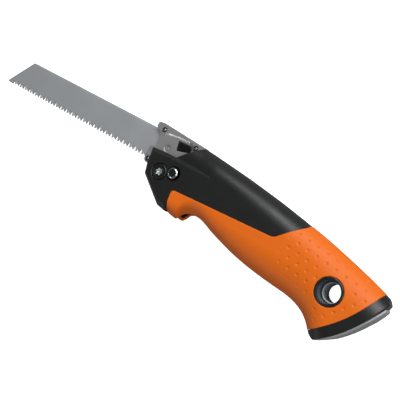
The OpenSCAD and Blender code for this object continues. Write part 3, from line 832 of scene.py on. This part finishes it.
for i, spot in enumerate(((35, 15.5), (61, 11.5), (90, 7.5))):
    far_cuts.append(turned("screw_seat%d" % i, [(0, -20), (3.5, -20), (3.1, -11.5), (3.1, -8.2),
                                                (1.6, -8.2), (1.6, 2), (0, 2)], spot))
carve(casing_far, far_cuts)
for piece, node in ((casing_near, "housing_left"), (casing_far, "housing_right")):
    dress(finish_mesh(piece), "handle", "casing_plastic", casing_black, nodes=[node])

# %% [markdown]
# ## The soft grip
# The grip is a rubber shell moulded over the casing, a little proud of it, with a rolled edge
# where it meets the black. Behind the palm it is dotted with shallow dimples on a slanting
# lattice, which fade out towards the belly. Each dimple gets rings of its own corners, so it is
# a true hollow that holds its shape in any light, which a painted bump would not.

# %% Grip outline and dimples
BELLY_STOP = 1.45
PROUD, GRIP_BACK = 0.3, 1.6
grip_arc = butt_arc(butt_radius - 0.06, angle=BELLY_STOP)
line = beside(colour_line, -0.07, closed=False)
belly_side = belly_rim(np.arange(grip_arc[0][0] - 0.5, line[0][0] + 0.4, -0.9), BELLY_STOP)
back_side = back_rim(np.arange(line[-1][0] + 0.6, grip_arc[-1][0] - 0.3, 0.9))
grip_loop = np.vstack((line, back_side, grip_arc[::-1], belly_side))
hole_loop = unwrap(circle(hang_at, 9.62, 72))
dimple_at = np.array([(121.7 + 2.8 * i + 7.2 * j, 2.1 - 5.8 * i - 0.78 * j) for i in range(-5, 9)
                      for j in range(-6, 12)])
dimple_at = dimple_at[(dimple_at[:, 1] > belly(dimple_at[:, 0]) + 3)
                      & (dimple_at[:, 1] < back(dimple_at[:, 0]) - 1.2)]
dimple_w = unwrap(dimple_at)
clear = inside(dimple_w, [grip_loop]) & (distance(dimple_w, grip_loop) > 2.4) & (distance(dimple_w,
                                                                                          hole_loop) > 1.9)
clear &= ~inside(dimple_w, [hole_loop])
fade = ease((dimple_at[:, 0] - 101) / 14) * ease((dimple_at[:, 1] - belly(dimple_at[:, 0]) - 7) / 10)
clear &= fade > 0.04
dimple_w, dimple_depth = dimple_w[clear], fade[clear] * 0.5
DIMPLE_R = 1.3
print(len(dimple_w), "dimples")


def roll(p, edge, r, closed=False):
    """How far an edge rounded to radius r drops near its line."""
    d = np.minimum(distance(p, edge, closed), r)
    return r - np.sqrt(r * r - (r - d) ** 2)


def grip_grow(p):
    grow = PROUD - roll(p, line, 0.4) - roll(p, grip_arc, 0.3) - roll(p, hole_loop, 0.3, True)
    for middle, depth in zip(dimple_w, dimple_depth):
        near = np.linalg.norm(p - middle, axis=1)
        grow -= depth * ease((DIMPLE_R - near) / (DIMPLE_R * 0.8))
    return grow


rows = [beside(line, -d, closed=False)[1:-1] for d in (0.08, 0.2, 0.4, 0.8)]
rows += [beside(grip_arc, d, closed=False)[2:-2] for d in (0.1, 0.3, 0.8)]
rows += [hole_loop + (hole_loop - unwrap([hang_at])) * d for d in (0.01, 0.03, 0.08)]
rows = np.vstack(rows)
rows = rows[inside(rows, [grip_loop, hole_loop]) & (distance(rows, grip_loop) > 0.05)]
hearts = [np.vstack((middle, circle(middle, 0.35, 14))) for middle in dimple_w]
around = [circle(middle, r, 14, 0.2 * k) for middle in dimple_w
          for k, r in enumerate((0.7, 1.0, 1.25, 1.5))]
rings = np.vstack(hearts + around)
open_points = scatter([grip_loop, hole_loop], 1.35, 0.6, lines=[line])
off_dimples = np.min([np.linalg.norm(open_points - m, axis=1) for m in dimple_w], axis=0) > 1.75
open_points = open_points[off_dimples]
open_points = open_points[distance(open_points, grip_loop) > 0.9]
grip_near = lifted("grip_near", [grip_loop, hole_loop], lambda p: wrap(p, grip_grow(p)),
                   lambda p: wrap(p, -GRIP_BACK), np.vstack((rows, rings, open_points)))
carve(grip_near, [prism("grip_sweep", sweep_area(), -2, CHEEK_IN),
                  prism("grip_slot", slot_area, -2,
                        SLOT_HALF + 0.01)])
grip_far = mirrored(grip_near, "grip_far")
for piece, node in ((grip_near, "grip_left"), (grip_far, "grip_right")):
    dress(finish_mesh(piece, 45), "handle", "soft_grip", grip_orange, nodes=[node])

# %% [markdown]
# ## The butt
# A hard cap closes the butt, and a grey plate is pressed into it, with the slit for the folded
# blade's tip. Both follow the handle's form between two arcs, so the same wrap makes them. Their
# corners are then trimmed to the side view, and the slit is cut last, as a saw would.

# %% Cap and plate
def butt_part(name, inner, outer, grow, edge, inset):
    """A band of the butt between two arcs, both sides in one, trimmed to the side view."""
    first, last = butt_arc(inner), butt_arc(outer)
    loop = np.vstack((first, last[::-1]))
    rows = np.vstack([beside(last, s * edge * d, closed=False) for d in (0.12, 0.3, 0.6, 1.0)
                      for s in (-1, 1)])
    rows = rows[inside(rows, [loop]) & (distance(rows, loop) > 0.04)]
    grid = scatter([loop], 1.1, 0.55)

    def top(p):
        return wrap(p, grow - roll(p, last, edge))

    def base(p):
        low = wrap(p, grow)
        low[:, 2] = -0.02
        return low
    near = lifted(name, [loop], top, base, np.vstack((rows, grid)))
    carve(near, [mirrored(near, name + "_far")], "UNION")
    i = inset
    side = rounded([[140, -41.2 + i, 0], [144.9, -43.8 + i, 0.5], [150.6 - i, -45.4 + i, 0.5], [200, -60, 0],
                    [200, -40, 0], [181.6 - i, -5 - i, 2], [178.2 - i, 0.4 - i, 2.5], [165, 5 - i, 0],
                    [140, 12, 0]])
    carve(near, [prism(name + "_side", side, -20, 20)], "INTERSECT")
    carve(near, [prism(name + "_slot", slot_area,
                       -SLOT_HALF, SLOT_HALF),
                 prism(name + "_slit", slit, -SLOT_HALF, SLOT_HALF)])
    return near


a = math.radians(-27.4)
slit = butt_middle + np.array([(89, -50), (101, -50), (101, 0), (89, 0)]) @ np.array(
    ((math.cos(a), math.sin(a)), (-math.sin(a), math.cos(a))))
cap = butt_part("butt_cap", 86.05, 92.75, 0.1, 0.6, 0)
dress(finish_mesh(cap, 40), "handle", "cap_plastic", cap_black, nodes=["end_cap"])
butt_plate = butt_part("grey_plate", 92.8, 93.95, -1.5, 0.5, 1.5)
dress(finish_mesh(butt_plate, 40), "handle", "grey_plastic", plate_grey, nodes=["butt_plate"])

# %% [markdown]
# ## Turned parts
# The hang hole's rings, the pivot bolt, the lock button and the rivets are all turned shapes:
# one profile swept round an axis. Every corner of a profile gets a small radius, because a
# corner that is perfectly sharp catches no light and looks drawn.

# %% Hang hole
ferrule_near = turned("ferrule_near", rounded([(7.6, 3, 0.1), (8.6, 3, 0.1), (8.6, 12.3, 0),
                                               (9.5, 12.3, 0.1),
                                               (9.5, 13.9, 0.6), (8.9, 14.2, 0.5), (7.9, 14.05, 0.4),
                                               (7.6, 13.4, 0.5)], 4),
                      hang_at, 96)
paint_where(ferrule_near, 1, lambda x, y, z, n: z < 12.9 and math.hypot(x - hang_at[0],
                                                                        y - hang_at[1]) < 7.7)
ferrule_far = turned("ferrule_far", rounded([(6.2, -12.3, 0), (9.5, -12.3, 0.1), (9.5, -13.9, 0.4),
                                             (9.1, -14.2, 0.4),
                                             (6.9, -14.2, 0.5), (6.2, -13.5, 0.6)], 4), hang_at, 96)
# The sleeve inside the hang hole takes the pale finish, painted light against the hole's shade.
hang_tube = turned("hang_tube", rounded([(6.2, -12.3, 0), (6.2, 3, 0.35), (7, 3, 0.2), (7, -12.3, 0)], 4),
                   hang_at, 96)
for piece, node, finishes in ((ferrule_near, "hang_ferrule_left", (ferrule_black, barrel_blue_grey)),
                              (ferrule_far, "hang_ferrule_right", (ferrule_black,)),
                              (hang_tube, "hang_sleeve", (sleeve_grey_painted_light,))):
    slot = "grey_plastic" if node == "hang_sleeve" else "ferrule_plastic"
    kept = [face.material_index for face in piece.data.polygons]
    dress(finish_mesh(piece), "handle", slot, *finishes, nodes=[node])
    piece.data.polygons.foreach_set("material_index", kept)

# %% Pivot bolt with a six-lobed recess
bolt = turned("pivot_bolt_head", rounded([(0, -12.2, 0), (3, -12.2, 0.2), (3, 9.6, 0), (5.85, 9.6, 0),
                                          (5.85, 12.9, 0.5),
                                          (5.2, 13.45, 0.4), (4.1, 13.45, 0.2), (3.75, 13.0, 0.2),
                                          (3.3, 13.0, 0.1),
                                          (3.1, 13.3, 0.1), (0, 13.3, 0)], 4), steps=84)
a = np.linspace(0, 2 * math.pi, 72, endpoint=False)
lobes = np.column_stack(((2.35 + 0.38 * np.cos(6 * a)) * np.cos(a),
                         (2.35 + 0.38 * np.cos(6 * a)) * np.sin(a)))
carve(bolt, [prism("driver_recess", lobes, 11.6, 20)])
dress(finish_mesh(bolt), "handle", "dark_bolt_steel", bolt_dark, recess_steel, nodes=["pivot_bolt"])
paint_where(bolt, 1, lambda x, y, z, n: 11.5 < z < 13.2 and math.hypot(x, y) < 2.8)

# %% Lock button
lock = turned("lock_button", rounded([(0, -6.2, 0), (2.6, -6.2, 0.3), (2.9, -5.8, 0.2), (2.9, 7, 0),
                                      (3.9, 7.4, 0),
                                      (3.9, 8, 0), (3.2, 8, 0), (3.2, 8.6, 0), (3.9, 8.6, 0),
                                      (3.9, 14.85, 0.15),
                                      (3.05, 15.5, 0.15), (2.85, 15.3, 0.1), (0, 15.2, 0)], 4), lock_at, 84)
dress(finish_mesh(lock), "lock", "polished_steel", chrome, bolt_dark, nodes=["lock_plunger"])
paint_where(lock, 1, lambda x, y, z, n: z > 15 and math.hypot(x - lock_at[0], y - lock_at[1]) < 2.97)

# %% [markdown]
# ## The blade holder
# Two stamped plates and a core hold the blade. The near plate steps up to a rib along its top
# edge; the step is a curved wall, and it is that wall which catches the long white gleam. Its
# faces get a glossier finish, and a paler one too, which is a painted highlight on the wall.
# Each plate is one outline with relief, so the same tool makes it, and the far plate is its mirror.

# %% Plate outline and relief
rivet_at = [(-17.3, 28), (12.3, 26.3), (-18.7, 4.1)]
pin_at, window_middle = (-8.8, 16.8), np.array((3.4, 22.8))
HUB = 7.0
a = np.radians(np.linspace(36.5, -187.4, 60))
hub_arc = np.column_stack((HUB * np.cos(a), HUB * np.sin(a)))
a = np.radians(np.linspace(-90, -180, 10))
lobe_arc = np.column_stack((rivet_at[2][0] + 3.2 * np.cos(a), rivet_at[2][1] + 3.2 * np.sin(a)))
upper = rounded([[-21.9, 4.6, 0], [-22.7, 13.3, 1.2], [-18.2, 15, 1.2], [-20.2, 25.2, 1.2], [-24.8, 28, 1.2],
                 [-24.8, 31.9, 2], [-19.5, 32.5, 5], [19.5, 29.65, 0.8], [4.85, 14, 0.8],
                 [5.6, 4.6, 0]], 5, closed=False)
plate_loop = fine(np.vstack((upper, hub_arc, lobe_arc)), 0.8)[::-1]
window = [[-3.2, 25.8, 0.6], [-1.5, 18.6, 0.6], [9.1, 21.1, 0.6], [9.7, 24.2, 0.9], [8.2, 26.2, 0.9]]
window_loop = fine(rounded(window, 4), 0.6)
rib = fine(rounded([[-30, 24.6, 0], [-20, 25.2, 1], [-16.2, 24.7, 3], [-13.3, 26.5, 4], [-4, 27.75, 9],
                    [5.3, 28.0, 5],
                    [9.3, 26.9, 3], [10.4, 24.0, 2], [14, 23, 0], [30, 25, 0], [30, 40, 0],
                    [-30, 40, 0]], 5), 0.8)
PLATE_Z, RIB_Z, CORE_Z = 3.0, 4.0, 0.65


def plate_top(p, rounds=((rivet_at[2], 4.0), ((0, 0), 8.0))):
    high = np.where(inside(p, [rib]), 1, -1) * distance(p, rib)
    for middle, r in rounds:
        high = np.maximum(high, r - np.linalg.norm(p - middle, axis=1))
    z = PLATE_Z + (RIB_Z - PLATE_Z) * ease((high + 1.2) / 2.4)
    for spot in rivet_at:
        z = np.where(np.linalg.norm(p - spot, axis=1) < 1.96, np.minimum(z, PLATE_Z + 0.2), z)
    z -= 0.55 * ease((2.75 - np.linalg.norm(p - pin_at, axis=1)) / 0.7)
    edge = np.minimum(distance(p, plate_loop), 0.35)
    edge = np.minimum(edge, distance(p, window_loop) + 0.12)
    return np.column_stack((p, z - (0.35 - np.sqrt(0.35**2 - (0.35 - np.minimum(edge, 0.35)) ** 2))))


plate_rows = [beside(plate_loop, d) for d in (0.08, 0.2,
                                              0.38)] + [window_loop + (window_loop - window_middle) * d
                                                                  for d in (0.02, 0.06)]
plate_rows += [circle(spot, r, 30) for spot in rivet_at for r in (1.9, 2.0)]
plate_rows += [circle(pin_at, r, 30, r) for r in (1.6, 2.0, 2.25, 2.5, 2.8)]
plate_rows += [beside(rib, d) for d in (-1.2, -0.8, -0.4, 0, 0.4, 0.8, 1.2)]
plate_rows = np.vstack(plate_rows)
plate_rows = plate_rows[inside(plate_rows, [plate_loop]) & (distance(plate_rows, plate_loop) > 0.05)]


def plate(name, loops):
    rows = plate_rows[inside(plate_rows, loops) & (distance(plate_rows, window_loop) > 0.06)]
    grid = scatter(loops, 0.75, 0.45)
    far_off = distance(grid, rib) > 1.4
    for spot in rivet_at + [pin_at]:
        far_off &= (np.linalg.norm(grid - spot, axis=1) > 3.0)
    return lifted(name, loops, plate_top, at_height(CORE_Z), np.vstack((rows, grid[far_off])))


holder_near = plate("holder_near", [plate_loop, window_loop])
holder_far = mirrored(plate("holder_far_side", [plate_loop]), "holder_far")
bpy.data.objects.remove(bpy.data.objects["holder_far_side"])
for piece, node, side in ((holder_near, "arm_plate_left", 1), (holder_far, "arm_plate_right", -1)):
    bores = [turned("bush_bore", [(0, -6), (4.2, -6), (4.2, 6), (0, 6)])]
    bores += [turned("rivet_bore", [(0, -6), (0.95, -6), (0.95, 6), (0, 6)], spot, 24) for spot in rivet_at]
    bores += [turned("pin_bore", [(0, -6), (1.5, -6), (1.5, 6), (0, 6)], pin_at, 36)]
    if side < 0:
        room = window_middle + (rounded(window, 4) - window_middle) * 1.3
        catch_room = [(-7.8, 19.9), (-2.2, 19.9), (-2.2, 23.1), (-7.8, 23.1)]
        bores += [prism("release_hollow", room, -2.1, 1), prism("catch_hollow", catch_room, -2.35, 1)]
    carve(piece, bores)
    dress(finish_mesh(piece, 35), "blade_arm", "cast_grey", cast_grey, rib_polish_painted_highlight, nodes=[node])
    # The faces of the rib's curved wall take the second finish: glossier polish, and a paler colour that is
    # a painted highlight.
    wall = np.array([((f.center - pivot) / MM)[:2] for f in piece.data.polygons])
    on_wall = (distance(wall, rib) < 1.0) & (wall[:, 0] > -15.5) & (wall[:, 0] < 6.5)
    piece.data.polygons.foreach_set("material_index", on_wall.astype(int))

# %% Rivets, the dark rings of painted shade that fill their recesses, and the locating pin
for i, spot in enumerate(rivet_at):
    rivet = turned("rivet_%d" % (i + 1), rounded([(0, -3.9, 0), (0.7, -3.85, 0.2), (0.93, -3.5, 0.1),
                                                  (0.93, 3.5, 0.1),
                                                  (0.75, 3.85, 0.2), (0, 3.98, 0)], 3), spot, 32)
    dress(finish_mesh(rivet, 50), "blade_arm", "rivet_steel", rivet_bright, nodes=["arm_rivets"])
    # Each rivet's recess is filled with a dark ring: painted shade where the recess would lie in shadow.
    recess_shade_ring = turned("eyelet_%d" % (i + 1), rounded([(0.97, 3.2, 0), (1.93, 3.2, 0), (1.93, 4.0, 0.2),
                                                    (1.6, 4.12, 0.15),
                                                    (1.25, 4.0, 0.1), (0.97, 3.75, 0)], 3), spot, 40)
    dress(finish_mesh(recess_shade_ring), "blade_arm", "cast_grey", eyelet_dark)
pin = turned("locating_peg", rounded([(0, -3, 0), (1.48, -3, 0.2), (1.48, 2.75, 0.3), (0.6, 2.75, 0.15),
                                      (0.45, 2.45, 0.1),
                                      (0, 2.45, 0)], 3), pin_at, 40)
dress(finish_mesh(pin), "blade_arm", "rivet_steel", cast_grey, nodes=["locating_pin"])

# %% Release pad with a knurled face
pad_loop = window_middle + (rounded(window, 4) - window_middle) * 0.975
pad_loop = fine(pad_loop, 0.5)
knurl = np.array([(x * 0.42, y * 0.42) for x in range(-12, 32) for y in range(40, 66)])
turn = math.radians(12)
c, s = math.cos(turn), math.sin(turn)
knurl = (knurl - window_middle) @ np.array(((c, s), (-s, c))) + window_middle
peak = np.array([(i + j) % 2 for i in range(44) for j in range(26)])
keep = inside(knurl, [pad_loop]) & (distance(knurl, pad_loop) > 0.5)
knurl, peak = knurl[keep], peak[keep]


def pad_top(p):
    z = np.full(len(p), 3.45)
    for spot, tall in zip(knurl, peak):
        z[np.linalg.norm(p - spot, axis=1) < 0.02] = 3.45 + 0.4 * tall
    return np.column_stack((p, z - 0.3 * ease((0.35 - distance(p, pad_loop)) / 0.35)))


pad_rows = np.vstack([beside(pad_loop, s * d) for d in (0.15, 0.35) for s in (1, -1)])
pad_rows = pad_rows[inside(pad_rows, [pad_loop])]
pad = lifted("release_pad", [pad_loop], pad_top, at_height(0.0), np.vstack((pad_rows, knurl)))
dress(finish_mesh(pad, 20), "release", "button_plastic", pad_black, nodes=["release_button"])

# %% [markdown]
# ## The blade
# Pull-cut teeth are ground in pairs between deep gullets. Each tooth is bent a little out of
# the blade's plane, one to each side, so that the cut is wider than the blade and doesn't bind.
# The tooth also thins towards its edges, where the grinding wheel passed. Both are a matter of
# moving the two faces, so the blade is one outline whose corners know which way they lean.

# %% Blade outline
TEETH_Y, GULLET, PITCH, PAIRS, FIRST = 4.1, 3.3, 6.0, 24, -167.2
BACK_Y, TIP_X, HALF_T = 27.4, -174.3, 0.6
root = TEETH_Y + GULLET
teeth = []
for i in range(PAIRS):
    x = FIRST + i * PITCH
    teeth += [(x, root, 0.25), (x + 0.5, root, 0.25), (x + 2.1, TEETH_Y, 0),
              (x + 3.1, TEETH_Y + 0.55 * GULLET, 0.2),
              (x + 4.9, TEETH_Y, 0), (x + 5.5, root - 0.3, 0.25)]
blade_loop = rounded([(TIP_X, TEETH_Y, 0.8), (FIRST - 0.6, TEETH_Y, 0)] + teeth
                     + [(-22.9, 7.6, 0), (-22.9, 9, 0), (-5, 9, 0), (-5, 20, 0), (-7.6, 20, 0),
                        (-7.6, 23, 0),
                        (-5, 23, 0), (-5, BACK_Y, 0), (TIP_X + 17.4, BACK_Y, 1.5)], 3)
blade_loop = fine(blade_loop, 1.2)


def tooth_lean(p):
    """Which side a tooth leans to, from -1 to 1, growing from its root to its tip."""
    along = (p[:, 0] - FIRST) % PITCH
    side = np.where(along < 3.1, 1.0, -1.0)
    depth = np.clip((root - p[:, 1]) / GULLET, 0, 1)
    on_teeth = (p[:, 0] > FIRST) & (p[:, 0] < FIRST + PAIRS * PITCH)
    return side * depth * on_teeth


def blade_face(side):
    def face(p):
        lean_by = tooth_lean(p)
        near_edge = distance(p, blade_loop)
        ground = np.abs(lean_by) * 0.62 * (1 - ease(near_edge / 0.7)) * (np.sign(lean_by) != side)
        thin = HALF_T * (1 - ground) - 0.12 * (1 - ease(near_edge / 0.3)) * (np.abs(lean_by) < 0.01)
        return np.column_stack((p, side * thin + 0.26 * lean_by))
    return face


tooth_x = [FIRST + i * PITCH + k for i in range(PAIRS) for k in (2.1, 4.9)]
tooth_rows = [fine([(x, TEETH_Y + 0.5), (x, root + 0.4)], 0.55, False) for x in tooth_x]
blade_rows = np.vstack([beside(blade_loop, d) for d in (-0.3, 0.3)] + tooth_rows)
blade_rows = blade_rows[inside(blade_rows, [blade_loop]) & (distance(blade_rows, blade_loop) > 0.2)]
blade_grid = scatter([blade_loop], 2.4, 0.9)
blade = lifted("blade", [blade_loop], blade_face(1), blade_face(-1), np.vstack((blade_rows, blade_grid)))
carve(blade, [turned("pin_hole", [(0, -2), (1.5, -2), (1.5, 2), (0, 2)], pin_at, 36)])
dress(finish_mesh(blade, 28), "blade_arm", "blade_steel", blade_steel, nodes=["saw_blade"])

# %% [markdown]
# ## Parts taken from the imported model
# Washers and screws have the right shape already. They keep their meshes and
# gain small rounded edges from modifiers, which join the split corners first, and finishes.

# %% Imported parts
kept_parts = {"housing_screws": screw_black, "pivot_nut": bolt_dark,
              "pivot_washers": bronze, "lock_plug": screw_black, "lock_clip": spring_steel,
              "arm_core": cast_grey, "pivot_bush": bronze, "release_catch": spring_steel}
for name, finish in kept_parts.items():
    part = frame["nodes"][name]
    part.data.materials.clear()
    part.data.materials.append(finish)
    weld = part.modifiers.new("weld", "WELD")
    weld.merge_threshold = 0.000002
    edge = part.modifiers.new("edge", "BEVEL")
    edge.width = 0.00015
    edge.segments = 2
    edge.limit_method = "ANGLE"
    edge.angle_limit = math.radians(35)
    print(name, "keeps its mesh in", finish.name)

# %% [markdown]
# ## The springs
# A coil spring is a wire wound round a rod. Here a small ring of points is carried up a helix
# and skinned. Each spring is attached to its button's body, so it rides with its button.

# %% Springs
def wound(name, r, wire, low, high, turns, middle):
    """A wire of radius wire wound turns times at radius r between two heights."""
    around, sides = 40, 10
    steps = around * turns
    climb = (high - low - 2 * wire) / steps
    verts = []
    for i in range(steps + 1):
        a = 2 * math.pi * i / around
        for k in range(sides):
            b = 2 * math.pi * k / sides
            out = r + wire * math.cos(b)
            verts.append((middle[0] + out * math.cos(a), middle[1] + out * math.sin(a),
                          low + wire + climb * i + wire * math.sin(b)))
    faces = [list(range(sides))[::-1], [steps * sides + k for k in range(sides)]]
    for i in range(steps):
        for k in range(sides):
            a, b = i * sides + k, i * sides + (k + 1) % sides
            faces.append((a, b, b + sides, a + sides))
    return new_piece(name, to_frame(verts), faces)


for name, node, body, joint, size, middle, press in (
        ("return_spring", "lock_spring", "lock", "lock_press", (2.5, 0.35, -10.9, -6.3, 3), lock_at, 2.6),
        ("pad_spring", "release_spring", "release", "release_press", (1.75, 0.25, -2.05, 2.35, 4),
         window_middle, 1.6)):
    spring = wound(name, *size, middle)
    dress(finish_mesh(spring, 60), body, "spring_steel", spring_steel, nodes=[node])
    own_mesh(spring)

# %% [markdown]
# The floor is a plain pale sheet. To the eye it glows a little, as paper does when lamps behind
# it light it, so shadows on it stay faint. Only straight looks see the glow: light that bounces
# still meets ordinary pale paper, and the saw isn't lit from below by it.

# %% Floor
floor = bpy.data.objects.new("floor", bpy.data.meshes.new("floor"))
floor.data.from_pydata([(-6, -6, cad_low.z), (6, -6, cad_low.z), (6, 6, cad_low.z), (-6, 6, cad_low.z)],
                       [], [(0, 1, 2, 3)])
bpy.context.scene.collection.objects.link(floor)
pale, pale_tree, pale_shader = start_material("pale_floor")
pale_shader.inputs["Roughness"].default_value = 0.8
pale_shader.inputs["Emission Color"].default_value = (1, 1, 1, 1)
looks = pale_tree.nodes.new("ShaderNodeLightPath")
glow = pale_tree.nodes.new("ShaderNodeMath")
glow.operation = "MULTIPLY"
glow.inputs[1].default_value = 1.0
pale_tree.links.new(looks.outputs["Is Camera Ray"], glow.inputs[0])
pale_tree.links.new(glow.outputs["Value"], pale_shader.inputs["Emission Strength"])
pale_tree.links.new(blend_colour(pale_tree, looks.outputs["Is Camera Ray"], (0.3, 0.3, 0.3, 1),
                                 (0.9, 0.9, 0.9, 1)),
                    pale_shader.inputs["Base Color"])
floor.data.materials.append(pale)
print("floor at", round(cad_low.z * 1000, 1), "mm")
